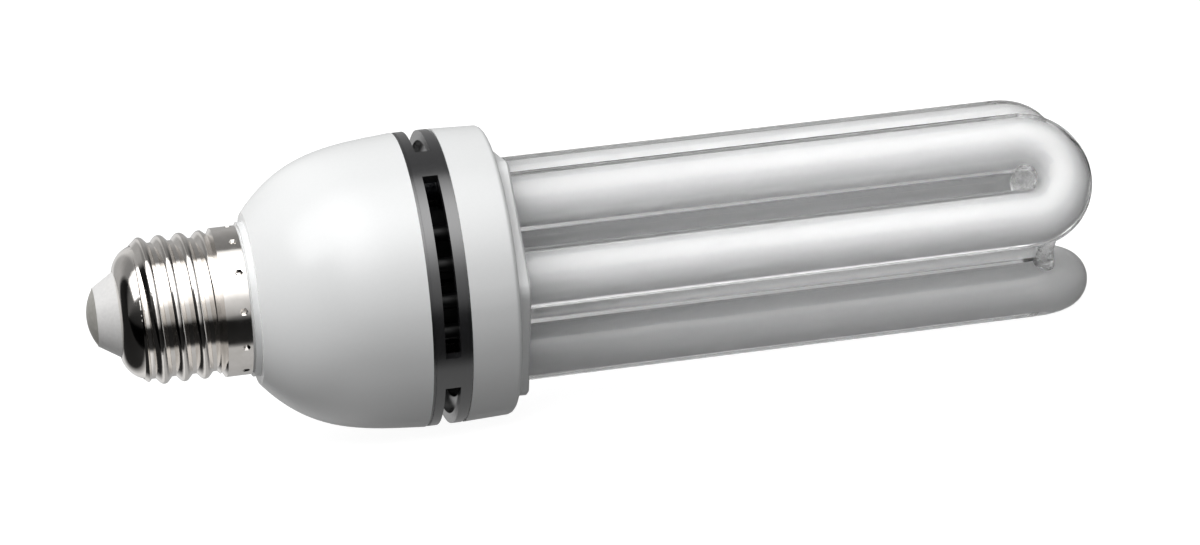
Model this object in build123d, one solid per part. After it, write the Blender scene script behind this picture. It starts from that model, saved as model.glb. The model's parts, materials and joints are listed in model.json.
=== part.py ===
from build123d import *
from math import acos, asin, atan2, cos, degrees, hypot, radians, sin, sqrt
import os

# A screw-cap lamp with three U-shaped discharge tubes, lying on its housing rim and one U.
# It is drawn upright about the lamp's axis: +Z runs from the centre contact to the tube tips,
# and +X is the side that ends up on top. place() then lays every piece down at rest.
# All lengths are in millimetres and all angles in degrees.

# Centre contact and insulator
contact_radius = 5.05
contact_height = 1.5
contact_sheet = 0.4
contact_stem_radius = 4.0
contact_stem_depth = 1.6
insulator_tip_radius = 5.2
insulator_radius = 7.6
insulator_height = 3.8
insulator_seat = 2.4
insulator_flange_thickness = 1.6
lead_hole_radius = 1.6

# Screw shell
thread_diameter = 26.25
thread_depth = 1.125
thread_pitch = 3.629
thread_crest_rounding = 1.0
thread_base_width = 3.2
thread_azimuth = 5.6
helix_lead_in = 1.7
thread_lead_in = 3.5
thread_end_gap = 0.2
thread_fade = 1.8
shell_sheet = 0.3
shell_length = 22.3
shoulder_length = 5.0
shoulder_facets = 4
lip_clearance = 0.1
skirt_step = 0.175
skirt_length = 4.4
skirt_flare = 0.8
punch_count = 12
punch_azimuth = 28.4
punch_inset = 1.2
punch_radius = 0.75
punch_depth = 0.45
punch_tip_radius = 0.2

# Ballast housing
housing_gap = 0.4
neck_clearance = 0.08
neck_lead_in = 8.7
neck_wall = 1.6
neck_step = 0.5
collar_step = 0.5
collar_width = 1.1
bowl_start_radius = 15.35
bowl_start_angle = 50.4
bowl_start_pull = 12.7
bowl_length = 28.1
housing_radius = 26.45
housing_draft = 4.6
bowl_end_pull = 11.4
housing_wall = 2.0

# Vent ring
ring_inset = 0.05
ring_height = 7.07
ring_reveal_width = 0.55
ring_reveal_depth = 0.3
slot_start = 2.15
slot_width = 2.74
slot_count = 4
web_angle = 15.0
web_azimuth = 30.0
ring_wall = 1.8
ring_flange_height = 1.0
spigot_clearance = 0.4
spigot_wall = 1.2
spigot_depth = 2.5
ledge_width = 1.0
ledge_drop = 0.65

# Tube cap
cap_height = 8.93
cap_wall = 2.0
cap_taper = 0.3
cap_rim_radius = 1.0
plateau_height = 2.3
plateau_margin = 1.96
plateau_corner_radius = 3.0
plateau_edge_chamfer = 0.4
plateau_wall = 1.8
hole_clearance = 0.15
cement_thickness = 1.8
cement_clearance = 0.04

# Discharge tube
tube_radius = 5.37
tube_reach = 107.7
hairpin_drops = [1.5, 0.0, 0.0]
u_count = 3
u_distance = 13.87
u_half_spacing = 7.27
u_azimuth = 60.0
leg_depth = 8.2
bridge_radius = 2.2
bridge_rise = 2.1
leg_end_chamfer = 1.5
seal_width = 7.0
seal_thickness = 2.4
seal_length = 0.6
blob_radius = 1.5
blob_foot_radius = 1.95
blob_height = 2.2
blob_grip = 2.0
plug_radius = 2.6
plug_thickness = 4.0
plug_height = 0.6

# Circuit board and what stands on it
board_clearance = 0.2
board_thickness = 1.6
lead_radius = 0.4
wire_radius = 0.65
solder_gap = 0.1
joint_rounding = 0.5

# Stations along the axis, from the tip of the centre contact
insulator_z = contact_height
shell_z = insulator_z + insulator_height
shell_end_z = shell_z + shell_length
skirt_z = shell_end_z - skirt_length
helix_z = shell_z + helix_lead_in
thread_start = shell_z + thread_lead_in
thread_end = shell_end_z - (skirt_length + thread_end_gap)
neck_z = shell_z + neck_lead_in
housing_z = shell_end_z + housing_gap
bowl_z = housing_z + collar_width
ring_z = bowl_z + bowl_length
cap_z = ring_z + ring_height
face_z = cap_z + cap_height
plateau_z = face_z + plateau_height
tip_z = plateau_z + tube_reach
bends_z = [tip_z - drop - tube_radius - u_half_spacing for drop in hairpin_drops]
leg_start_z = plateau_z - leg_depth

# Radii and angles that several pieces share
crest_radius = thread_diameter / 2
root_radius = crest_radius - thread_depth
skirt_radius = crest_radius + skirt_step
lip_radius = insulator_radius + lip_clearance
collar_radius = skirt_radius + collar_step
neck_radius = root_radius - shell_sheet - neck_clearance
seat_radius = skirt_radius - shell_sheet - neck_clearance
ring_radius = housing_radius - ring_inset
cap_front_radius = ring_radius - cap_taper
plateau_flat = u_distance + tube_radius + plateau_margin
spigot_radius = ring_radius - cap_wall - spigot_clearance
board_radius = spigot_radius - spigot_wall - board_clearance
board_z = cap_z + ledge_drop
u_azimuths = [u_azimuth + i * 360 / u_count for i in range(u_count)]


def dome_sphere(radius, height):
    """Radius of the sphere whose cap has this rim radius and height."""
    return (radius ** 2 + height ** 2) / (2 * height)


def polar(radius, azimuth, z=0.0):
    """A point at a radius and an azimuth about the lamp's axis."""
    angle = radians(azimuth)
    return Vector(radius * cos(angle), radius * sin(angle), z)


def turned(*edges):
    """Revolve a closed outline, drawn as (radius, z), about the lamp's axis."""
    outline = Wire(edges)
    return revolve(Plane.XZ * Face(outline), Axis.Z)


def lines(*points):
    """Straight edges from point to point."""
    return [Line(a, b) for a, b in zip(points, points[1:])]


def rod(radius, z_low, z_high, x=0.0, y=0.0):
    """A round rod along the axis, between two stations."""
    return Pos(x, y, (z_low + z_high) / 2) * Cylinder(radius, z_high - z_low)


def rounded(shape, radius):
    """The same block with its upright edges rounded."""
    return fillet(shape.edges().filter_by(Axis.Z), radius)


def centre_contact():
    """A stamped metal cup: a domed disc with a stem pressed into the insulator."""
    outer = dome_sphere(contact_radius, contact_height)
    inner_radius = contact_stem_radius - contact_sheet
    inner_rise = outer - contact_sheet

    def sag(sphere, radius):
        return sphere - sqrt(sphere ** 2 - radius ** 2)

    stem_end = insulator_z + contact_stem_depth
    inner_top = contact_sheet + sag(inner_rise, inner_radius)
    face = ThreePointArc(
        (0, 0), (contact_radius / 2, sag(outer, contact_radius / 2)), (contact_radius, contact_height))
    inside = ThreePointArc(
        (inner_radius, inner_top),
        (inner_radius / 2, contact_sheet + sag(inner_rise, inner_radius / 2)),
        (0, contact_sheet))
    stem = lines(
        (contact_radius, contact_height), (contact_stem_radius, contact_height),
        (contact_stem_radius, stem_end), (inner_radius, stem_end), (inner_radius, inner_top))
    return turned(face, *stem, inside, Line((0, contact_sheet), (0, 0)))


def shoulder_arc():
    """Radius and centre radius of the arc that leads from the lip into the thread's root."""
    width = root_radius - lip_radius
    radius = (width ** 2 + shoulder_length ** 2) / (2 * width)
    return radius, root_radius - radius


def shoulder_radius_at(z, inset):
    """Radius of the shoulder, or of a surface inset from it, at a station."""
    radius, centre = shoulder_arc()
    drop = shell_z + shoulder_length - z
    return centre + sqrt((radius - inset) ** 2 - drop ** 2)


def cap_insulator():
    """A moulded cone with a seat for the contact's stem and a flange held inside the shell."""
    stem_z = insulator_z + contact_stem_depth
    flange_z = shell_z + insulator_seat
    flange_radius = shoulder_radius_at(flange_z, shell_sheet + neck_clearance)
    return turned(*lines(
        (lead_hole_radius, stem_z), (contact_stem_radius, stem_z),
        (contact_stem_radius, insulator_z), (insulator_tip_radius, insulator_z),
        (insulator_radius, shell_z), (insulator_radius, shell_z + insulator_seat / 3),
        (flange_radius, flange_z),
        (flange_radius, flange_z + insulator_flange_thickness),
        (lead_hole_radius, flange_z + insulator_flange_thickness), (lead_hole_radius, stem_z)))


def shell_blank():
    """The drawn sheet-metal shell before its thread is rolled."""
    arc_radius, centre = shoulder_arc()
    root_z = shell_z + shoulder_length
    lip_angle = atan2(shell_z - root_z, lip_radius - centre)

    def on_arc(radius, angle):
        return (centre + radius * cos(angle), root_z + radius * sin(angle))

    inner = arc_radius - shell_sheet
    outside = ThreePointArc(
        on_arc(arc_radius, lip_angle), on_arc(arc_radius, lip_angle / 2), (root_radius, root_z))
    inside = lines(*[on_arc(inner, lip_angle * i / shoulder_facets) for i in range(shoulder_facets + 1)])
    outer_wall = lines(
        (root_radius, root_z), (root_radius, skirt_z - skirt_flare), (skirt_radius, skirt_z),
        (skirt_radius, shell_end_z), (skirt_radius - shell_sheet, shell_end_z))
    inner_wall = lines(
        (skirt_radius - shell_sheet, shell_end_z), (skirt_radius - shell_sheet, skirt_z),
        (root_radius - shell_sheet, skirt_z - skirt_flare), (root_radius - shell_sheet, root_z))
    lip = Line(on_arc(inner, lip_angle), on_arc(arc_radius, lip_angle))
    return turned(outside, *outer_wall, *inner_wall, *inside, lip)


def thread_ridge():
    """One rounded ridge rolled along a helix, fading into the wall at both ends."""
    height = thread_end - helix_z + thread_pitch / 2
    base_radius = root_radius - shell_sheet / 2
    centre = crest_radius - thread_crest_rounding
    reach = hypot(centre - base_radius, thread_base_width / 2)
    towards_base = atan2(thread_base_width / 2, base_radius - centre)
    flank = towards_base - acos(thread_crest_rounding / reach)
    flank_x = centre + thread_crest_rounding * cos(flank)
    flank_z = thread_crest_rounding * sin(flank)
    half = thread_base_width / 2
    outline = Wire([
        Line((base_radius, -half), (flank_x, -flank_z)),
        ThreePointArc((flank_x, -flank_z), (crest_radius, 0), (flank_x, flank_z)),
        Line((flank_x, flank_z), (base_radius, half)),
        Line((base_radius, half), (base_radius, -half))])
    profile = Plane.XZ * Face(outline)
    helix = Helix(thread_pitch, height, crest_radius)
    ridge = sweep(profile, path=helix, is_frenet=True)
    ridge = Pos(0, 0, helix_z) * Rot(0, 0, thread_azimuth) * ridge
    over = crest_radius + shell_sheet
    envelope = turned(*lines(
        (0, thread_start), (root_radius - shell_sheet / 4, thread_start),
        (over, thread_start + thread_fade), (over, thread_end - thread_fade),
        (root_radius - shell_sheet / 4, thread_end), (0, thread_end), (0, thread_start)))
    return ridge & envelope


def punches(growth):
    """The six-sided dents that hold the shell on the neck, made larger all over by a growth."""
    depth = punch_depth + growth
    dents = []
    for i in range(punch_count):
        azimuth = punch_azimuth + i * 360 / punch_count
        plane = Plane(
            origin=polar(skirt_radius, azimuth, shell_end_z - punch_inset),
            x_dir=(0, 0, 1), z_dir=-polar(1, azimuth))
        mouth = plane * RegularPolygon(punch_radius + growth, 6)
        tip = plane.offset(depth) * RegularPolygon(punch_tip_radius + growth, 6)
        dents.append(loft([mouth, tip], ruled=True))
    return dents


def screw_shell():
    """The threaded shell with its skirt punched into the neck."""
    inner_skirt = rod(skirt_radius - shell_sheet / 2, skirt_z, shell_end_z)
    shell = shell_blank() + thread_ridge()
    backs = [dent & inner_skirt for dent in punches(shell_sheet)]
    shell = shell + backs
    for dent in punches(0.0):
        shell = shell - dent
    return shell


def bowl_curve(inset, shrink):
    """The bowl's curved outline, set in from the outside by a wall."""
    start = radians(bowl_start_angle)
    end = radians(housing_draft)
    low = (bowl_start_radius - inset * cos(start), bowl_z + inset * sin(start))
    high = (housing_radius - inset * cos(end), ring_z)
    low_pull = bowl_start_pull * shrink
    high_pull = bowl_end_pull * shrink
    return Bezier(
        low, (low[0] + low_pull * sin(start), low[1] + low_pull * cos(start)),
        (high[0] - high_pull * sin(end), high[1] - high_pull * cos(end)), high)


def ballast_housing():
    """The bowl that holds the ballast, in one moulding with the neck under the shell."""
    bore = neck_radius - neck_wall
    outside = bowl_curve(0.0, 1.0)
    inside = bowl_curve(housing_wall, 1 - housing_wall / housing_radius)
    low_in = (inside @ 0).X, (inside @ 0).Y
    high_in = (inside @ 1).X, (inside @ 1).Y
    neck = lines(
        low_in, (bore, low_in[1] - housing_wall / 2), (bore, neck_z), (neck_radius, neck_z),
        (neck_radius, skirt_z + neck_step), (seat_radius, skirt_z + 2 * neck_step),
        (seat_radius, housing_z), (collar_radius, housing_z), (collar_radius, bowl_z),
        (bowl_start_radius, bowl_z))
    rim = Line((housing_radius, ring_z), high_in)
    body = turned(*neck, outside, rim, inside)
    for dent in punches(shell_sheet + neck_clearance):
        body = body - dent
    return body


def vent_ring():
    """The dark ring between the bowl and the cap, with its air slots and a ledge for the board."""
    reveal_radius = ring_radius - ring_reveal_depth
    inner = spigot_radius - spigot_wall
    wall_radius = ring_radius - ring_wall
    low_flange = ring_z + ring_flange_height
    high_flange = cap_z - ring_flange_height
    body = turned(*lines(
        (spigot_radius, ring_z), (reveal_radius, ring_z), (reveal_radius, ring_z + ring_reveal_width),
        (ring_radius, ring_z + ring_reveal_width), (ring_radius, cap_z - ring_reveal_width),
        (reveal_radius, cap_z - ring_reveal_width), (reveal_radius, cap_z), (spigot_radius, cap_z),
        (spigot_radius, cap_z + spigot_depth), (inner, cap_z + spigot_depth), (inner, board_z),
        (inner - ledge_width, board_z), (inner - ledge_width, high_flange),
        (wall_radius, high_flange), (wall_radius, low_flange), (inner, low_flange),
        (inner, ring_z - spigot_depth), (spigot_radius, ring_z - spigot_depth), (spigot_radius, ring_z)))
    slot_z = ring_z + slot_start
    for i in range(slot_count):
        azimuth = web_azimuth + (i + 0.5) * 360 / slot_count
        span = 360 / slot_count - web_angle
        reach = 2 * (ring_radius - inner + ring_wall)
        section = Pos(inner, slot_z + slot_width / 2) * Rectangle(reach, slot_width)
        sector = revolve(Plane.XZ * section, Axis.Z, revolution_arc=span)
        body = body - Rot(0, 0, azimuth - span / 2) * sector
    return body


def hexagon(flat, corner, z_low, height):
    """A rounded hexagonal block with a corner in front of each U."""
    outline = RegularPolygon(flat, 2 * u_count, major_radius=False, rotation=u_azimuth)
    outline = fillet(outline.vertices(), corner)
    return Pos(0, 0, z_low) * extrude(outline, height)


def leg_places():
    """Centres of the six legs, pair by pair."""
    places = []
    for azimuth in u_azimuths:
        for side in (-1, 1):
            centre = polar(u_distance, azimuth) + polar(side * u_half_spacing, azimuth + 90)
            places.append(centre)
    return places


def tube_cap():
    """The cap that closes the housing, with a raised hexagon and a hole for each leg."""
    inner = ring_radius - cap_wall
    inner_front = cap_front_radius - cap_wall
    plate_z = face_z - cap_wall
    body = turned(*lines(
        (inner, cap_z), (ring_radius, cap_z), (cap_front_radius, face_z), (0, face_z),
        (0, plate_z), (inner_front, plate_z), (inner, cap_z)))
    rim = body.edges().filter_by(GeomType.CIRCLE).sort_by(Axis.Z)[-1]
    body = fillet(rim, cap_rim_radius)
    overlap = cap_wall / 2
    plateau = hexagon(plateau_flat, plateau_corner_radius, face_z - overlap, plateau_height + overlap)
    plateau = chamfer(plateau.faces().sort_by(Axis.Z)[-1].edges(), plateau_edge_chamfer)
    body = body + plateau
    body = body - cement_pocket(0.0)
    for centre in leg_places():
        body = body - rod(
            tube_radius + hole_clearance, plate_z - cap_wall, plateau_z + cap_wall, centre.X, centre.Y)
    return body


def cement_pocket(inset):
    """The space under the hexagon that the cement fills."""
    flat = plateau_flat - plateau_wall - inset
    corner = plateau_corner_radius - plateau_wall - inset
    low = face_z - cap_wall
    top = plateau_z - plateau_wall
    return hexagon(flat, corner, low, top - low - inset)


def tube_cement():
    """The cement that holds the legs under the hexagon."""
    body = cement_pocket(cement_clearance)
    below = plateau_z - plateau_wall - cement_clearance - cement_thickness
    body = body - rod(housing_radius, below - cap_height, below)
    for centre in leg_places():
        body = body - rod(
            tube_radius + cement_clearance, face_z - cap_height, plateau_z, centre.X, centre.Y)
    return body


def u_tube(azimuth, bend_z):
    """One glass hairpin: two straight legs and a half-circle bend."""
    start = (-u_half_spacing, leg_start_z)
    left = Line(start, (-u_half_spacing, bend_z))
    bend = CenterArc((0, bend_z), u_half_spacing, 180, -180)
    right = Line((u_half_spacing, bend_z), (u_half_spacing, leg_start_z))
    plane = Plane(origin=polar(u_distance, azimuth), x_dir=polar(1, azimuth + 90), z_dir=polar(1, azimuth))
    path = plane * Wire([left, bend, right])
    section = Plane(origin=path @ 0, z_dir=path % 0) * Circle(tube_radius)
    hairpin = sweep(section, path=path)
    ends = hairpin.edges().filter_by(GeomType.CIRCLE).group_by(Axis.Z)[0]
    return chamfer(ends, leg_end_chamfer)


def discharge_tube():
    """Three hairpins joined into one path by two fused bridges, with a pinched seal at each end."""
    body = None
    for azimuth, bend_z in zip(u_azimuths, bends_z):
        hairpin = u_tube(azimuth, bend_z)
        body = hairpin if body is None else body + hairpin
    legs = leg_places()
    for i in range(1, 2 * u_count - 1, 2):
        first = legs[i]
        second = legs[i + 1]
        z = leg_start_z + bridge_rise
        middle = (first + second) / 2 + Vector(0, 0, z)
        span = second - first
        bridge = Plane(origin=middle, z_dir=span) * Cylinder(bridge_radius, span.length - tube_radius)
        body = body + bridge
    for leg in (legs[0], legs[-1]):
        seal = Box(seal_thickness, seal_width, seal_length + tube_radius)
        height = leg_start_z - seal_length + (seal_length + tube_radius) / 2
        azimuth = degrees(atan2(leg.Y, leg.X))
        body = body + Pos(leg.X, leg.Y, height) * Rot(0, 0, azimuth) * seal
    return body


def bend_point(i, side, z):
    """Centre of a hairpin's tube at a station inside its bend, on one side of the bend."""
    swing = sqrt(u_half_spacing ** 2 - (z - bends_z[i]) ** 2)
    azimuth = u_azimuths[i]
    return polar(u_distance, azimuth) + polar(side * swing, azimuth + 90)


def tip_silicone(glass):
    """Clear silicone: a drop between each two bends, and a plug in the shortest hairpin's bend."""
    pieces = []
    z = max(bends_z) + blob_height
    for i in range(u_count):
        first = bend_point(i, 1, z)
        second = bend_point((i + 1) % u_count, -1, z)
        span = second - first
        half = span.length / 2 - tube_radius
        foot = half + blob_grip
        spool = turned(*lines(
            (0, -foot), (blob_foot_radius, -foot), (blob_foot_radius, -half), (blob_radius, 0),
            (blob_foot_radius, half), (blob_foot_radius, foot), (0, foot), (0, -foot)))
        middle = (first + second) / 2 + Vector(0, 0, z)
        pieces.append(Plane(origin=middle, z_dir=span) * spool)
    low = min(bends_z)
    azimuth = u_azimuths[bends_z.index(low)]
    plug = Plane(origin=polar(u_distance, azimuth, low + plug_height), z_dir=polar(1, azimuth))
    pieces.append(plug * Cylinder(plug_radius, plug_thickness))
    silicone = []
    for piece in pieces:
        silicone.append(max((piece - glass).solids(), key=lambda solid: solid.volume))
    return silicone


# What stands on the board, on its side towards the screw cap
capacitor_radius = 5.0
capacitor_length = 22.0
capacitor_place = (-4.5, 1.5)
choke_size = (16.0, 5.0, 13.0)
choke_limb = 6.2
choke_window = (2.4, 8.0)
choke_winding_size = (10.5, 7.6)
choke_winding_corner = 2.0
choke_winding_clearance = 0.1
choke_place = (3.5, -12.5)
toroid_radius = 4.5
toroid_hole_radius = 2.6
toroid_width = 3.6
toroid_place = (8.2, 0.8)
transistor_size = (8.0, 2.8, 11.0)
transistor_hole_radius = 1.5
transistor_places = [(5.5, 9.5), (-3.0, 13.6)]
resonant_size = (5.5, 9.0, 11.0)
resonant_place = (-9.5, -10.1)
film_size = (4.5, 9.0, 9.0)
film_places = [(-14.0, -0.7), (-11.8, 8.5)]
diode_radius = 1.35
diode_length = 5.2
diode_clearance = 0.15
diode_azimuths = [58.0, 74.0, 92.0, 108.0]
fuse_radius = 1.7
fuse_length = 8.0
fuse_place = (11.5, -7.2)
inductor_radius = 2.8
inductor_waist = 2.0
inductor_length = 9.0
inductor_flange = 1.2
inductor_place = (15.9, 0.8)
resistor_radius = 1.1
resistor_length = 6.0
resistor_places = [(14.5, -4.0), (-1.5, 9.2), (0.5, -5.0)]
live_hole = (3.0, -2.5)
live_run = 12.0
live_bend = 8.0
neutral_hole = (3.0, 6.5)
neutral_drop = 2.0
neutral_bend = 3.0
lead_stub = 1.0


def hang(shape_height, place):
    """Location of a part whose top touches the board's lower face."""
    return Pos(place[0], place[1], board_z - shape_height / 2)


def circuit_board():
    """A round board that rests on the vent ring's ledge."""
    top = board_z + board_thickness
    board = rod(board_radius, board_z, top)
    for x, y in (live_hole, neutral_hole):
        board = board - rod(wire_radius, board_z - lead_stub, top + lead_stub, x, y)
    for x, y in filament_places():
        board = board - rod(lead_radius, board_z - lead_stub, top + lead_stub, x, y)
    return board


def smoothing_capacitor():
    """A round can on the board, reaching into the neck's mouth."""
    can = Cylinder(capacitor_radius, capacitor_length)
    can = fillet(can.faces().sort_by(Axis.Z)[0].edges(), joint_rounding)
    return hang(capacitor_length, capacitor_place) * can


def choke_core():
    """A ferrite core with two windows for its winding."""
    width, depth, height = choke_size
    window_width, window_height = choke_window
    core = Box(width, depth, height)
    for side in (-1, 1):
        offset = side * (choke_limb + window_width) / 2
        core = core - Pos(offset, 0, 0) * Box(window_width, depth, window_height)
    return hang(height, choke_place) * core


def choke_winding():
    """The choke's winding, wound through both windows around the middle limb."""
    depth, height = choke_winding_size
    width = choke_limb + 2 * (choke_window[0] - choke_winding_clearance)
    outer = extrude(RectangleRounded(width, depth, choke_winding_corner), height / 2, both=True)
    limb = Box(choke_limb, choke_size[1], height)
    return hang(choke_size[2], choke_place) * (outer - limb)


def drive_toroid():
    """A small ferrite ring lying on the board."""
    ring = Cylinder(toroid_radius, toroid_width) - Cylinder(toroid_hole_radius, toroid_width)
    return hang(toroid_width, toroid_place) * ring


def power_transistors():
    """Two flat transistors standing on the board."""
    block = Box(*transistor_size)
    hole = Rot(90, 0, 0) * Cylinder(transistor_hole_radius, 2 * transistor_size[1])
    block = block - Pos(0, 0, -transistor_size[2] / 4) * hole
    return [hang(transistor_size[2], place) * block for place in transistor_places]


def resonant_capacitor():
    """A moulded film capacitor."""
    return hang(resonant_size[2], resonant_place) * rounded(Box(*resonant_size), joint_rounding)


def film_capacitors():
    """Two smaller film capacitors."""
    block = rounded(Box(*film_size), joint_rounding)
    return [hang(film_size[2], place) * block for place in film_places]


def rectifier_diodes():
    """Four diodes standing on end near the slots."""
    diode = Cylinder(diode_radius, diode_length)
    ledge_radius = spigot_radius - spigot_wall - ledge_width
    diodes = []
    for azimuth in diode_azimuths:
        centre = polar(ledge_radius - diode_radius - diode_clearance, azimuth)
        diodes.append(hang(diode_length, (centre.X, centre.Y)) * diode)
    return diodes


def fuse_resistor():
    """The fusible resistor in the live side."""
    return hang(fuse_length, fuse_place) * Cylinder(fuse_radius, fuse_length)


def input_inductor():
    """A small drum-core inductor."""
    half = inductor_length / 2
    waist = half - inductor_flange
    drum = turned(*lines(
        (0, -half), (inductor_radius, -half), (inductor_radius, -waist), (inductor_waist, -waist),
        (inductor_waist, waist), (inductor_radius, waist), (inductor_radius, half), (0, half),
        (0, -half)))
    return hang(inductor_length, inductor_place) * drum


def board_resistors():
    """Resistors standing on end."""
    body = Cylinder(resistor_radius, resistor_length)
    return [hang(resistor_length, place) * body for place in resistor_places]


def filament_places():
    """Where the two wires of each end seal pass through the board."""
    places = []
    legs = leg_places()
    for leg in (legs[0], legs[-1]):
        tangent = polar(1, degrees(atan2(leg.Y, leg.X)) + 90)
        for side in (-1, 1):
            centre = leg + tangent * (side * seal_width / 4)
            places.append((centre.X, centre.Y))
    return places


def filament_leads():
    """Straight wires from the pinched seals through the board."""
    seal_z = leg_start_z - seal_length
    return [rod(lead_radius, board_z - lead_stub, seal_z, x, y) for x, y in filament_places()]


def wire(points, bend):
    """An insulated wire along straight runs joined by arcs."""
    path = FilletPolyline(*points, radius=bend)
    section = Plane(origin=path @ 0, z_dir=path % 0) * Circle(wire_radius)
    return sweep(section, path=path)


def live_lead():
    """The wire from the board to the centre contact."""
    x, y = live_hole
    top = board_z + board_thickness
    corner = (x, y, neck_z + live_run)
    centre = (0, 0, neck_z - lead_stub)
    return wire([(x, y, top), corner, centre, (0, 0, contact_sheet + solder_gap)], live_bend)


def neutral_lead():
    """The wire from the board to the inside of the shell, below the neck's end."""
    x, y = neutral_hole
    top = board_z + board_thickness
    wall = root_radius - shell_sheet
    foot_z = neck_z - neutral_drop
    wall_y = sqrt(wall ** 2 - (x + wire_radius) ** 2)
    return wire([(x, y, top), (x, y, foot_z), (x, wall_y, foot_z)], neutral_bend)


def rest_tilt():
    """Angle by which the tube end lies lower, with rim and tube tip on one plane."""
    along = tip_z - tube_radius - (face_z - cap_rim_radius)
    across = cap_front_radius - cap_rim_radius - u_distance
    reach = hypot(along, across)
    return atan2(across, along) + asin((cap_rim_radius - tube_radius) / reach)


def placement():
    """Where the upright lamp lies: on z = 0, with its box centred over the origin."""
    tilt = rest_tilt()
    lift = (
        (face_z - cap_rim_radius) * sin(tilt)
        + (cap_front_radius - cap_rim_radius) * cos(tilt) + cap_rim_radius)
    reaches = []
    for azimuth, bend_z in zip(u_azimuths, bends_z):
        in_plane = hypot(cos(tilt), sin(tilt) * sin(radians(azimuth)))
        reaches.append(
            bend_z * cos(tilt) + u_distance * cos(radians(azimuth)) * sin(tilt)
            + u_half_spacing * in_plane + tube_radius)
    contact_end = -dome_sphere(contact_radius, contact_height) * (1 - cos(tilt))
    start = -(max(reaches) + contact_end) / 2
    return Plane(
        origin=(start, 0, lift), x_dir=(sin(tilt), 0, cos(tilt)), z_dir=(cos(tilt), 0, -sin(tilt))).location


def solids_of(piece):
    """The separate solids of a piece or of a list of like pieces."""
    pieces = piece if isinstance(piece, list) else [piece]
    return [solid for one in pieces for solid in one.solids()]


glass = discharge_tube()
nodes = {
    "centre_contact": centre_contact(),
    "cap_insulator": cap_insulator(),
    "screw_shell": screw_shell(),
    "ballast_housing": ballast_housing(),
    "vent_ring": vent_ring(),
    "tube_cap": tube_cap(),
    "tube_cement": tube_cement(),
    "discharge_tube": glass,
    "tip_silicone": tip_silicone(glass),
    "circuit_board": circuit_board(),
    "smoothing_capacitor": smoothing_capacitor(),
    "choke_core": choke_core(),
    "choke_winding": choke_winding(),
    "drive_toroid": drive_toroid(),
    "power_transistors": power_transistors(),
    "resonant_capacitor": resonant_capacitor(),
    "film_capacitors": film_capacitors(),
    "rectifier_diodes": rectifier_diodes(),
    "fuse_resistor": fuse_resistor(),
    "input_inductor": input_inductor(),
    "board_resistors": board_resistors(),
    "filament_leads": filament_leads(),
    "live_lead": live_lead(),
    "neutral_lead": neutral_lead(),
}

os.makedirs("parts", exist_ok=True)
lay_down = placement()
for name, piece in nodes.items():
    solids = [lay_down * solid for solid in solids_of(piece)]
    shape = solids[0] if len(solids) == 1 else Compound(solids)
    export_step(shape, "parts/" + name + ".step")

print("tilt", round(degrees(rest_tilt()), 3), "origin", lay_down.position, "length", round(tip_z, 2))
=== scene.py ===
import json
import math

import bpy
import numpy as np
from mathutils import Matrix


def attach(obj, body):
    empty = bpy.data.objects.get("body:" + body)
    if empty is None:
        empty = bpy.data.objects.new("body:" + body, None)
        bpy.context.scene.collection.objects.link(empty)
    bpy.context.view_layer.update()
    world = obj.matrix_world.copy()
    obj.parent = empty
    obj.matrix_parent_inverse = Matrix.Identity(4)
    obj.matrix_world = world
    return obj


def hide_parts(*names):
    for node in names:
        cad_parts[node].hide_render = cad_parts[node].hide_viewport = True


# A screw-cap lamp with three U-shaped tubes, lying on its housing rim and on its lowest tube.
# The frame holds its pieces where they lie. This script gives them their finishes, adds the white
# coating inside the glass and a tube cap of its own, and sets up the camera and the studio.
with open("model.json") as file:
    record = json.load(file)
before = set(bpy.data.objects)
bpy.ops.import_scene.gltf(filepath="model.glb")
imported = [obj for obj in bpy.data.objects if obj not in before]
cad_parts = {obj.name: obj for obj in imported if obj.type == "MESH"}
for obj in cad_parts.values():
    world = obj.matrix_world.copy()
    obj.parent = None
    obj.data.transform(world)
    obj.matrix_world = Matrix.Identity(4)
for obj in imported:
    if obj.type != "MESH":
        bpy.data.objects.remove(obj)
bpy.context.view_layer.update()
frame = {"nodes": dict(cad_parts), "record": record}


# Camera. It stands a little above the lamp and nearer to its screw cap. It was fitted to the edges
# of the ring, the bowl and the tubes: the axis rises in the picture and leans away from it, and the
# lamp's top is turned from the line of sight. The view is hung from the middle of the ring.
MM = 0.001
contact_mount = next(mount for mount in frame["record"]["mounts"] if mount["name"] == "centre_contact")
tip = np.array(contact_mount["pos_m"])
axis = -np.array(contact_mount["axis"])
side = np.array((0.0, -1.0, 0.0))
up = np.cross(side, axis)


def place(along, high, near):
    """Scene points, in metres, of lamp places in millimetres: tip + along axis + high up + near side."""
    steps = np.multiply.outer(along, axis) + np.multiply.outer(high, up) + np.multiply.outer(near, side)
    return tip + MM * steps


picture_width = 1200
focal_pixels = 4198.5
sensor_width = 36.0
nearest_seen = 0.01
furthest_seen = 50.0
axis_rise = math.radians(6.91)
axis_lean = math.radians(10.71)
top_turn = math.radians(78.8)
ring_station = 57.2
ring_from_camera = np.array((-34.64, 1.32, 750.0))

lamp_right = np.array((
    math.cos(axis_lean) * math.cos(axis_rise),
    -math.cos(axis_lean) * math.sin(axis_rise),
    math.sin(axis_lean)))
lamp_down = np.array((math.sin(axis_rise), math.cos(axis_rise), 0.0))
lamp_near = np.cross(lamp_down, lamp_right)
lamp_up = math.cos(top_turn) * lamp_near - math.sin(top_turn) * lamp_down
in_camera = np.stack((lamp_right, lamp_up, np.cross(lamp_right, lamp_up)))
in_world = np.stack((axis, up, side))
camera_axes = in_camera.T @ in_world
stand = np.eye(4)
stand[:3, :3] = np.stack((camera_axes[0], -camera_axes[1], -camera_axes[2]), axis=1)
stand[:3, 3] = place(ring_station, 0.0, 0.0) - MM * ring_from_camera @ camera_axes

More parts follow.
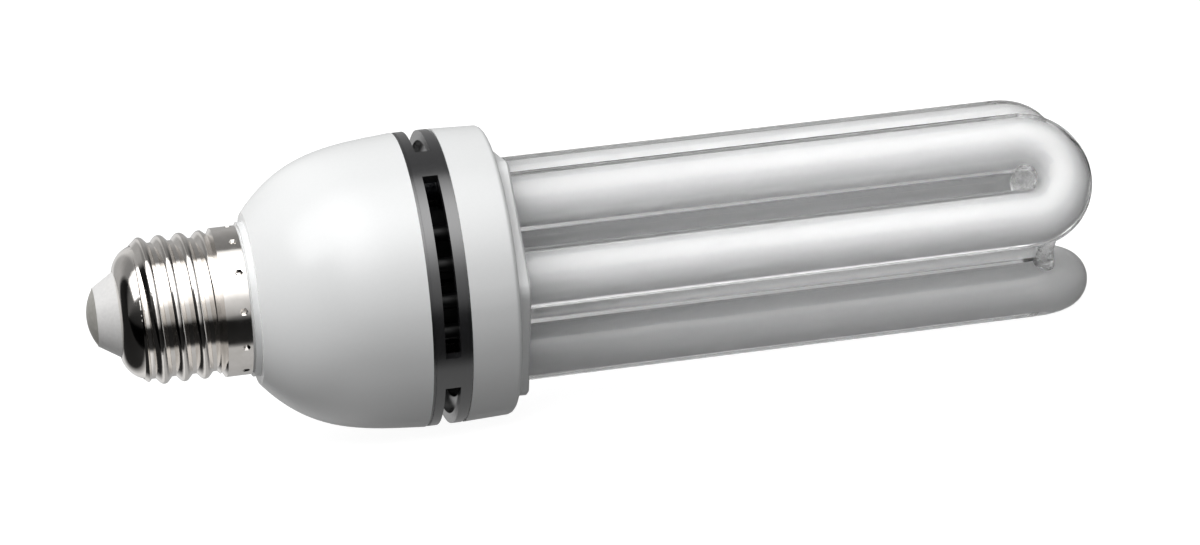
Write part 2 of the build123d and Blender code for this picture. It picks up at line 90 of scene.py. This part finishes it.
lens = bpy.data.cameras.new("camera")
lens.sensor_width = sensor_width
lens.lens = focal_pixels / picture_width * sensor_width
lens.clip_start = nearest_seen
lens.clip_end = furthest_seen
camera = bpy.data.objects.new("camera", lens)
camera.matrix_world = Matrix(stand.tolist())
bpy.context.scene.collection.objects.link(camera)
bpy.context.scene.camera = camera
bpy.context.scene.view_settings.view_transform = "Standard"


# Studio walls. A low fill comes from all round, brighter from above and faint from the right. What
# mirrors see is drawn as strips by their height about the lamp's length: the lit panel in front and
# above, a grey wall behind it, a black card low in front, and the table. The left end is dark.
def linear(code):
    """An sRGB hex colour as linear light: ((c + 0.055) / 1.055) ** 2.4, or c / 12.92 where dark."""
    channels = [int(code[i:i + 2], 16) / 255 for i in (0, 2, 4)]
    return [c / 12.92 if c <= 0.04045 else ((c + 0.055) / 1.055) ** 2.4 for c in channels] + [1.0]


def add(tree, kind, settings=(), links=()):
    """One shader node: settings gives its properties, input values and ramp stops, and links its wires."""
    node = tree.nodes.new(kind)
    for name, value in dict(settings).items():
        if name == "stops":
            while len(node.color_ramp.elements) < len(value):
                node.color_ramp.elements.new(1.0)
            for element, (position, colour) in zip(node.color_ramp.elements, value):
                element.position = position
                element.color = colour
        elif isinstance(name, int) or name in node.inputs:
            node.inputs[name].default_value = value
        else:
            setattr(node, name, value)
    for name, source in dict(links).items():
        tree.links.new(source, node.inputs[name])
    return node


def stops(levels, first, last, tint):
    """Ramp stops for pairs of a spot and a level of light: share = (spot - first) / (last - first)."""
    return [((spot - first) / (last - first), [level * part for part in tint]) for spot, level in levels]


fill_below = 0.13
fill_above = 0.78
right_end_fill = 0.15
full_turn = (-180, 180)
# Degrees of height about the lamp's length, with 0 in front and 90 above, and the level of light there.
strips = [
    (-180, 0.42), (-150, 0.42), (-66, 0.52), (-58, 0.02), (-20, 0.01), (-10, 0.42), (12, 0.75), (24, 1.6),
    (36, 2.6), (48, 3.2), (66, 3.2), (84, 2.0), (93, 1.2), (97, 0.20), (125, 0.26), (150, 0.42), (180, 0.42)]
strip_tint = linear("FEFEFE")
full_length = (0.0, 1.0)
# Share of the way from the left end of the room to the right end, and the level of light there.
lengthwise = [(0.0, 0.03), (0.26, 0.05), (0.38, 1.7), (0.46, 1.7), (0.5, 1.0), (0.66, 1.0), (0.88, 0.10)]
window_heights = [(-180, 1.0), (-165, 0.0), (38, 0.0), (46, 1.0), (180, 1.0)]
window_reach = [(0.0, 0.0), (0.10, 0.0), (0.14, 1.0), (0.66, 1.0), (0.88, 0.10)]
white = (1.0, 1.0, 1.0, 1.0)

world = bpy.data.worlds.new("studio")
bpy.context.scene.world = world
world.use_nodes = True
sky = world.node_tree
sky.nodes.clear()
heading = add(sky, "ShaderNodeTexCoord").outputs["Generated"]
towards = add(sky, "ShaderNodeSeparateXYZ", {}, {0: heading}).outputs
front = add(sky, "ShaderNodeMath", {"operation": "MULTIPLY", 1: -1.0}, {0: towards["Y"]}).outputs[0]
height = add(sky, "ShaderNodeMath", {"operation": "ARCTAN2"}, {0: towards["Z"], 1: front}).outputs[0]
turned = add(sky, "ShaderNodeMapRange", {"From Min": -math.pi, "From Max": math.pi}, {"Value": height})
lengthways = add(sky, "ShaderNodeMapRange", {"From Min": -1.0, "From Max": 1.0}, {"Value": towards["X"]})
by_turn = {"Fac": turned.outputs[0]}
by_length = {"Fac": lengthways.outputs[0]}
strip = add(sky, "ShaderNodeValToRGB", {"stops": stops(strips, *full_turn, strip_tint)}, by_turn)
end = add(sky, "ShaderNodeValToRGB", {"stops": stops(lengthwise, *full_length, white)}, by_length)
window = add(sky, "ShaderNodeValToRGB", {"stops": stops(window_heights, *full_turn, white)}, by_turn)
reach = add(sky, "ShaderNodeValToRGB", {"stops": stops(window_reach, *full_length, white)}, by_length)
window_here = add(sky, "ShaderNodeMix", {"data_type": "RGBA", "blend_type": "MULTIPLY", 0: 1.0},
                  {6: window.outputs["Color"], 7: reach.outputs["Color"]}).outputs[2]
level_here = add(sky, "ShaderNodeMix", {"data_type": "RGBA", "blend_type": "LIGHTEN", 0: 1.0},
                 {6: end.outputs["Color"], 7: window_here}).outputs[2]
mirrored = add(sky, "ShaderNodeMix", {"data_type": "RGBA", "blend_type": "MULTIPLY", 0: 1.0},
               {6: strip.outputs["Color"], 7: level_here}).outputs[2]
rays = add(sky, "ShaderNodeLightPath").outputs
rise = add(sky, "ShaderNodeMapRange", {"To Min": fill_below, "To Max": fill_above}, {"Value": towards["Z"]})
fade = add(sky, "ShaderNodeMapRange", {"To Min": 1.0, "To Max": right_end_fill}, {"Value": towards["X"]})
filled = add(sky, "ShaderNodeMath", {"operation": "MULTIPLY"}, {0: rise.outputs[0], 1: fade.outputs[0]})
fill = add(sky, "ShaderNodeBackground", {"Color": white}, {"Strength": filled.outputs[0]}).outputs[0]
mirror = add(sky, "ShaderNodeBackground", {"Strength": 1.0}, {"Color": mirrored}).outputs[0]
backdrop = add(sky, "ShaderNodeBackground", {"Color": white, "Strength": 1.0}).outputs[0]
lit = add(sky, "ShaderNodeMixShader", {}, {0: rays["Is Glossy Ray"], 1: fill, 2: mirror}).outputs[0]
shown = add(sky, "ShaderNodeMixShader", {}, {0: rays["Is Camera Ray"], 1: lit, 2: backdrop}).outputs[0]
add(sky, "ShaderNodeOutputWorld", {}, {"Surface": shown})


# Softbox. One large soft lamp stands above, in front and to the left, and makes the broad light on
# the upper sides. Mirrors don't see it, because the strips of the walls already show it to them.
softbox_size = (1.3, 0.9)
softbox_energy = 12.4
softbox_distance = 1.3
softbox_height = math.radians(53)
softbox_side = math.radians(-42)
softbox = bpy.data.lights.new("softbox", "AREA")
softbox.shape = "RECTANGLE"
softbox.size, softbox.size_y = softbox_size
softbox.energy = softbox_energy
aim = np.array((
    math.sin(softbox_side) * math.cos(softbox_height),
    -math.cos(softbox_side) * math.cos(softbox_height),
    math.sin(softbox_height)))
across = np.cross((0.0, 0.0, 1.0), aim)
across /= np.linalg.norm(across)
stand = np.eye(4)
stand[:3, :3] = np.stack((across, np.cross(aim, across), aim), axis=1)
stand[:3, 3] = softbox_distance * aim
key = bpy.data.objects.new("softbox", softbox)
key.matrix_world = Matrix(stand.tolist())
key.visible_glossy = False
bpy.context.scene.collection.objects.link(key)


# Table. A sweep of matt white paper. The camera sees it lit almost to white, so that only a trace of
# shadow stays, and its bounce on the lamp is held back as a black card under it would do.
sweep_half = 3.0
sweep_bounce = (0.22, 0.22, 0.22, 1.0)
sweep_sheet = (0.25, 0.25, 0.25, 1.0)
sweep_glow = 0.95
sweep_mesh = bpy.data.meshes.new("sweep")
sweep_mesh.from_pydata(
    [(-sweep_half, -sweep_half, 0), (sweep_half, -sweep_half, 0), (sweep_half, sweep_half, 0),
     (-sweep_half, sweep_half, 0)], [], [(0, 1, 2, 3)])
sweep = bpy.data.objects.new("sweep", sweep_mesh)
bpy.context.scene.collection.objects.link(sweep)
# Matt white paper: flat and even, with no gloss. Mirrors see the walls through it.
paper = bpy.data.materials.new("matt white paper")
paper.use_nodes = True
tree = paper.node_tree
tree.nodes.clear()
rays = add(tree, "ShaderNodeLightPath").outputs
bounce = add(tree, "ShaderNodeBsdfDiffuse", {"Color": sweep_bounce}).outputs[0]
sheet = add(tree, "ShaderNodeBsdfDiffuse", {"Color": sweep_sheet}).outputs[0]
glow = add(tree, "ShaderNodeEmission", {"Color": white, "Strength": sweep_glow}).outputs[0]
bright = add(tree, "ShaderNodeAddShader", {}, {0: sheet, 1: glow}).outputs[0]
shown = add(tree, "ShaderNodeMixShader", {}, {0: rays["Is Camera Ray"], 1: bounce, 2: bright}).outputs[0]
clear = add(tree, "ShaderNodeBsdfTransparent").outputs[0]
surface = add(tree, "ShaderNodeMixShader", {}, {0: rays["Is Glossy Ray"], 1: shown, 2: clear}).outputs[0]
add(tree, "ShaderNodeOutputMaterial", {}, {"Surface": surface})
sweep_mesh.materials.append(paper)


# Centre contact. A stamped disc of tinned brass with a low dome, which closes the end of the screw
# cap. Its stem is pressed into the insulator and the live wire is soldered inside it.
noise_detail = 4.0
tint_band = (0.35, 0.65)
rough_band = (0.3, 0.7)


def finish(name, settings, colours=None, grain=1.0, bump=0.0, rough=None):
    """A Principled surface. Noise, with a grain in millimetres, varies its colour, roughness and height."""
    material = bpy.data.materials.new(name)
    material.use_nodes = True
    tree = material.node_tree
    tree.nodes.clear()
    body = add(tree, "ShaderNodeBsdfPrincipled", settings)
    where = add(tree, "ShaderNodeTexCoord").outputs["Object"]
    scale = 1 / (grain * MM)
    noise = add(tree, "ShaderNodeTexNoise", {"Scale": scale, "Detail": noise_detail}, {"Vector": where})
    if colours:
        tones = [(spot, linear(code)) for spot, code in zip(tint_band, colours)]
        tint = add(tree, "ShaderNodeValToRGB", {"stops": tones}, {"Fac": noise.outputs[0]})
        tree.links.new(tint.outputs["Color"], body.inputs["Base Color"])
    if rough:
        span = {"From Min": rough_band[0], "From Max": rough_band[1], "To Min": rough[0], "To Max": rough[1]}
        spread = add(tree, "ShaderNodeMapRange", span, {"Value": noise.outputs[0]})
        tree.links.new(spread.outputs[0], body.inputs["Roughness"])
    if bump:
        depth = {"Strength": 1.0, "Distance": bump * MM}
        relief = add(tree, "ShaderNodeBump", depth, {"Height": noise.outputs[0]})
        tree.links.new(relief.outputs["Normal"], body.inputs["Normal"])
    add(tree, "ShaderNodeOutputMaterial", {}, {"Surface": body.outputs[0]})
    return material


def dress(node, material):
    """Put a finish on a node of the frame."""
    for slot in frame["nodes"][node].material_slots:
        slot.material = material


# Brass dipped in tin: a dull silver skin with a soft sheen, and grains of tin about 0.8 mm across.
tinned_brass = finish("tinned brass", {"Metallic": 0.3}, ("B4B2AC", "C0BEB9"), grain=0.8, bump=0.01,
                      rough=(0.40, 0.50))
dress("centre_contact", tinned_brass)


# Insulator. A light grey moulding between the contact and the shell, pressed in under the shell's
# rolled lip.
# Pressed insulating compound: a dull, even skin, with a fine unevenness of about 0.6 mm.
insulator = finish("insulator moulding", {}, ("DEDDDC", "E4E3E2"), grain=0.6, bump=0.004, rough=(0.34, 0.42))
dress("cap_insulator", insulator)


# Screw shell. Drawn from thin brass sheet, rolled to a thread and nickel plated. Twelve dents
# punched through its skirt hold it on the housing's neck.
# Bright nickel plate: a warm, slightly blurred mirror, with draw marks some 2.5 mm wide that bend it.
nickel = finish("nickel plate", {"Metallic": 1.0}, ("E7E3DE", "F0ECE8"), grain=2.5, bump=0.004,
                rough=(0.09, 0.13))
dress("screw_shell", nickel)


# Ballast housing. The bowl and its neck are one injection moulding. The shell is punched into the
# neck and the vent ring sits in the bowl's rim.
# White moulded plastic from a polished mould: an even, soft gloss. Its 0.6 mm mottle barely shows.
white_plastic = finish("white moulded plastic", {}, ("F1F2F2", "F2F3F3"), grain=0.6, rough=(0.24, 0.26))
dress("ballast_housing", white_plastic)


# Circuit board. A round phenolic board on the vent ring's ledge, with the ballast's parts soldered to
# it. They show only as dark shapes behind the slots.
# Pressed phenolic paper: matt, with fibres about 0.5 mm across. Its colour is darkened to near black, below
# the board's own brown, as painted shade inside the housing.
phenolic = finish("phenolic board", {"Specular IOR Level": 0.2}, ("1C1812", "221D16"), grain=0.5, bump=0.004,
                  rough=(0.5, 0.6))
dress("circuit_board", phenolic)


# Smoothing capacitor and input inductor. A round can and a small drum core, each in a shrunk sleeve,
# and soldered to the board.
# Shrunk plastic sleeve: near black with a soft shine, drawn tight, with ripples of about 0.4 mm.
sleeve = finish("shrink sleeve", {}, ("101216", "15171C"), grain=0.4, rough=(0.25, 0.35))
dress("smoothing_capacitor", sleeve)
dress("input_inductor", sleeve)


# Choke and drive toroid. The choke's two-window core holds a winding of enamelled wire. The toroid
# is a small ring lying on the board.
# Sintered ferrite: black and dull like fired clay, with a grit of about 0.2 mm.
ferrite = finish("ferrite", {"Specular IOR Level": 0.2}, ("121213", "18181A"), grain=0.2, bump=0.004,
                 rough=(0.6, 0.7))
dress("choke_core", ferrite)
dress("drive_toroid", ferrite)
# Enamelled copper wire: a copper shine, broken up by turns of wire 0.3 mm thick. Its colour is darkened far
# below copper's own as painted shade inside the housing.
copper = finish("enamelled copper", {"Metallic": 0.8}, ("24150C", "2E1B10"), grain=0.3, bump=0.01,
                rough=(0.3, 0.4))
dress("choke_winding", copper)


# Power transistors and rectifier diodes. Chips moulded in black blocks and rods, standing on their
# wires.
# Moulded epoxy: black with a low sheen, and a fine texture of about 0.2 mm from the mould.
epoxy = finish("moulded epoxy", {"Specular IOR Level": 0.2}, ("0C0C0C", "101010"), grain=0.2, bump=0.003,
               rough=(0.3, 0.4))
dress("power_transistors", epoxy)
dress("rectifier_diodes", epoxy)


# Film capacitors. Wound plastic film, dipped in resin and soldered to the board.
# Dipped resin: smooth, with runs of about 0.5 mm where it dripped. Its near black colour is painted shade
# inside the housing.
film = finish("dipped film", {"Specular IOR Level": 0.2}, ("100E0D", "161312"), grain=0.5, bump=0.005,
              rough=(0.2, 0.3))
dress("resonant_capacitor", film)
dress("film_capacitors", film)


# Resistors. Small rods that stand on end, and the fusible one in the live side.
# Baked resistor enamel: slightly pebbled, with bumps of about 0.4 mm. Its dark colour is painted shade inside
# the housing.
enamel = finish("resistor enamel", {"Specular IOR Level": 0.2}, ("181614", "1E1B18"), grain=0.4, bump=0.005,
                rough=(0.35, 0.45))
dress("fuse_resistor", enamel)
dress("board_resistors", enamel)


# Wires. Two bare wires from each seal of the tube come through the board, and two insulated leads
# run on to the contact and to the shell.
# Tinned wire: bright silver, blurred by drawing, with marks of about 0.3 mm.
tinned_wire = finish("tinned wire", {"Metallic": 1.0}, ("C4C4C2", "D0D0CE"), grain=0.3, rough=(0.2, 0.3))
dress("filament_leads", tinned_wire)
# Extruded wire insulation: off-white and dull, nearly even, with a mottle of about 0.4 mm.
insulation = finish("wire insulation", {}, ("D8D7D4", "E0DFDC"), grain=0.4, rough=(0.45, 0.55))
dress("live_lead", insulation)
dress("neutral_lead", insulation)


# Vent ring. One moulding with four slots that let the ballast breathe, set between the bowl and the
# tube cap.
# Dark grey moulded plastic: a satin skin with a strong sheen on its upper side, and a 0.6 mm mottle.
grey_plastic = finish("dark grey moulded plastic", {"Specular IOR Level": 1.0, "IOR": 1.65},
                      ("242425", "28282A"), grain=0.6, rough=(0.20, 0.22))
dress("vent_ring", grey_plastic)


# Tube cap. Moulded in the bowl's white plastic and snapped over the vent ring, with a low rounded
# hexagon that has a flat in front of each hairpin. It stands in for the frame's own cap, whose
# hexagon is turned by half a side.
cap_start = 64.27
cap_radius = 26.4
cap_taper = 0.3
cap_wall = 2.0
face_station = 73.2
rim_round = 1.0
rim_steps = 9
hexagon_sides = 6
hexagon_height = 2.3
hexagon_flat = 21.2
hexagon_corner = 3.0
hexagon_edge = 0.4
flat_steps = 9
corner_steps = 17
cap_crease = math.radians(20)
side_turn = 2 * math.pi / hexagon_sides


def hexagon_radius(angle, flat, corner):
    """Distance from the axis to the side of a hexagon with rounded corners, in the direction of an angle.

    A turn away from the middle of a side it is flat / cos(turn). In the corner the ray meets a circle
    whose centre is (flat - corner) / cos 30 out: centre * cos(off) + sqrt(corner^2 - (centre * sin(off))^2).
    """
    turn = np.abs((angle + side_turn / 2) % side_turn - side_turn / 2)
    centre = (flat - corner) / math.cos(side_turn / 2)
    off = side_turn / 2 - turn
    in_corner = flat * np.tan(turn) > centre * math.sin(side_turn / 2)
    chord = np.sqrt(np.maximum(corner ** 2 - (centre * np.sin(off)) ** 2, 0.0))
    return np.where(in_corner, centre * np.cos(off) + chord, flat / np.cos(turn))


def cap_shape():
    """The cap as rows round the axis: up its inside, over the rim, along the face and over the hexagon."""
    half_flat = math.atan((1 - hexagon_corner / hexagon_flat) * math.tan(side_turn / 2))
    on_side = np.linspace(-half_flat, half_flat, flat_steps)
    in_corner = np.linspace(half_flat, side_turn - half_flat, corner_steps)[1:-1]
    one_side = np.concatenate((on_side, in_corner))
    angle = (one_side + side_turn * np.arange(hexagon_sides)[:, None]).ravel()
    outer_end = cap_radius - cap_taper
    plate = face_station - cap_wall
    bend = np.linspace(0, math.pi / 2, rim_steps)
    top = face_station + hexagon_height
    foot = hexagon_radius(angle, hexagon_flat, hexagon_corner)
    brow = hexagon_radius(angle, hexagon_flat - hexagon_edge, hexagon_corner - hexagon_edge)
    along = np.concatenate((
        [plate, plate, cap_start, cap_start], face_station - rim_round + rim_round * np.sin(bend),
        [face_station, top - hexagon_edge, top, top]))
    radius = np.concatenate((
        [0.0, outer_end - cap_wall, cap_radius - cap_wall, cap_radius],
        outer_end - rim_round + rim_round * np.cos(bend), [0.0, 0.0, 0.0, 0.0]))
    radius = np.repeat(radius[:, None], angle.size, axis=1)
    radius[-4:-1] = np.stack((foot, foot, brow))
    along = np.repeat(along[:, None], angle.size, axis=1)
    return along, radius * np.cos(angle), radius * np.sin(angle)


def skin(name, points, material, crease=None):
    """A mesh over a grid of points that is closed round in its second direction, smooth but for creases."""
    rows, columns = points.shape[:2]
    first = np.arange(rows - 1)[:, None] * columns
    left = np.arange(columns)[None, :]
    right = (left + 1) % columns
    above = first + columns
    corners = np.stack((first + left, first + right, above + right, above + left), axis=-1)
    mesh = bpy.data.meshes.new(name)
    mesh.from_pydata(points.reshape(-1, 3), [], corners.reshape(-1, 4).tolist())
    mesh.validate()
    mesh.shade_smooth()
    if crease:
        mesh.set_sharp_from_angle(angle=crease)
    mesh.materials.append(material)
    piece = bpy.data.objects.new(name, mesh)
    bpy.context.scene.collection.objects.link(piece)
    return piece


cap = skin("tube_cap_moulding", place(*cap_shape()), white_plastic, crease=cap_crease)
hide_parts("tube_cap")
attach(cap, "root")


# Cement. It is poured round the legs under the cap and sets hard.
# Set cement: chalky and matt, with grains of about 0.8 mm.
cement = finish("set cement", {}, ("D6D3CA", "E2DFD8"), grain=0.8, bump=0.02, rough=(0.8, 0.9))
dress("tube_cement", cement)


# Discharge tube. Three hairpins of glass, bent hot and fused into one path. A white powder coating
# lines the inside, so that the glass shows as a clear skin over a white body.
# Clear drawn glass: a sharp gloss with dark and bright lines at the edges, and waves some 30 mm long.
glass_clarity = (0.985, 0.985, 0.985, 1.0)
glass = finish("clear glass", {"Transmission Weight": 1.0, "IOR": 1.47, "Base Color": glass_clarity},
               grain=30.0, rough=(0.0, 0.01))
dress("discharge_tube", glass)
hairpin_azimuths = (60.0, 180.0, 300.0)
hairpin_bends = (169.06, 170.56, 170.56)
hairpin_distance = 13.87
leg_spacing = 7.27
coating_radius = 3.1
coating_start = 70.0
bend_steps = 48
ring_steps = 64


def hairpin(azimuth, bend, radius, start):
    """A tube of a radius round a path that runs up one leg, round half a circle and down the other.

    On the bend the path is (spacing cos t, bend + spacing sin t), and the ring about it lies in the
    plane of the outward direction and the hairpin's own normal. A last ring of no size closes each end.
    """
    turn = np.linspace(0, math.pi, bend_steps)
    out_across = np.concatenate(([1, 1], np.cos(turn), [-1, -1]))
    out_along = np.concatenate(([0, 0], np.sin(turn), [0, 0]))
    across = leg_spacing * out_across
    along = np.concatenate(([start, start], bend + leg_spacing * np.sin(turn), [start, start]))
    size = np.full(across.shape, radius)
    size[[0, -1]] = 0.0
    ring = np.linspace(0, -2 * math.pi, ring_steps, endpoint=False)
    outward = size[:, None] * np.cos(ring)
    normal = size[:, None] * np.sin(ring)
    flat_across = across[:, None] + outward * out_across[:, None]
    flat_along = along[:, None] + outward * out_along[:, None]
    angle = math.radians(azimuth)
    distance = hairpin_distance + normal
    high = distance * math.cos(angle) - flat_across * math.sin(angle)
    near = distance * math.sin(angle) + flat_across * math.cos(angle)
    return flat_along, high, near


# White tube powder, washed in and baked: chalk white, and light soaks about 12 mm along the tube in it,
# so that its shaded side stays pale. Its clumps are about 0.5 mm across.
powder = finish("white tube coating",
                {"Subsurface Weight": 1.0, "Subsurface Radius": (1, 1, 1), "Subsurface Scale": 12 * MM},
                ("FAFBFC", "FCFDFE"), grain=0.5, rough=(0.5, 0.6))
for number, (azimuth, bend) in enumerate(zip(hairpin_azimuths, hairpin_bends), 1):
    points = place(*hairpin(azimuth, bend, coating_radius, coating_start))
    coating = skin(f"tube_coating_{number}", points, powder)
    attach(coating, "root")


# Silicone. Drops between the bends and a plug in the bend of the shortest hairpin keep the glass from
# rattling.
# Clear silicone, set in the air: a wet-looking skin, crumpled in folds of about 1.6 mm.
silicone_clarity = (0.97, 0.97, 0.97, 1.0)
silicone = finish("clear silicone", {"Transmission Weight": 1.0, "IOR": 1.41, "Base Color": silicone_clarity},
                  grain=1.6, bump=0.6, rough=(0.0, 0.02))
dress("tip_silicone", silicone)
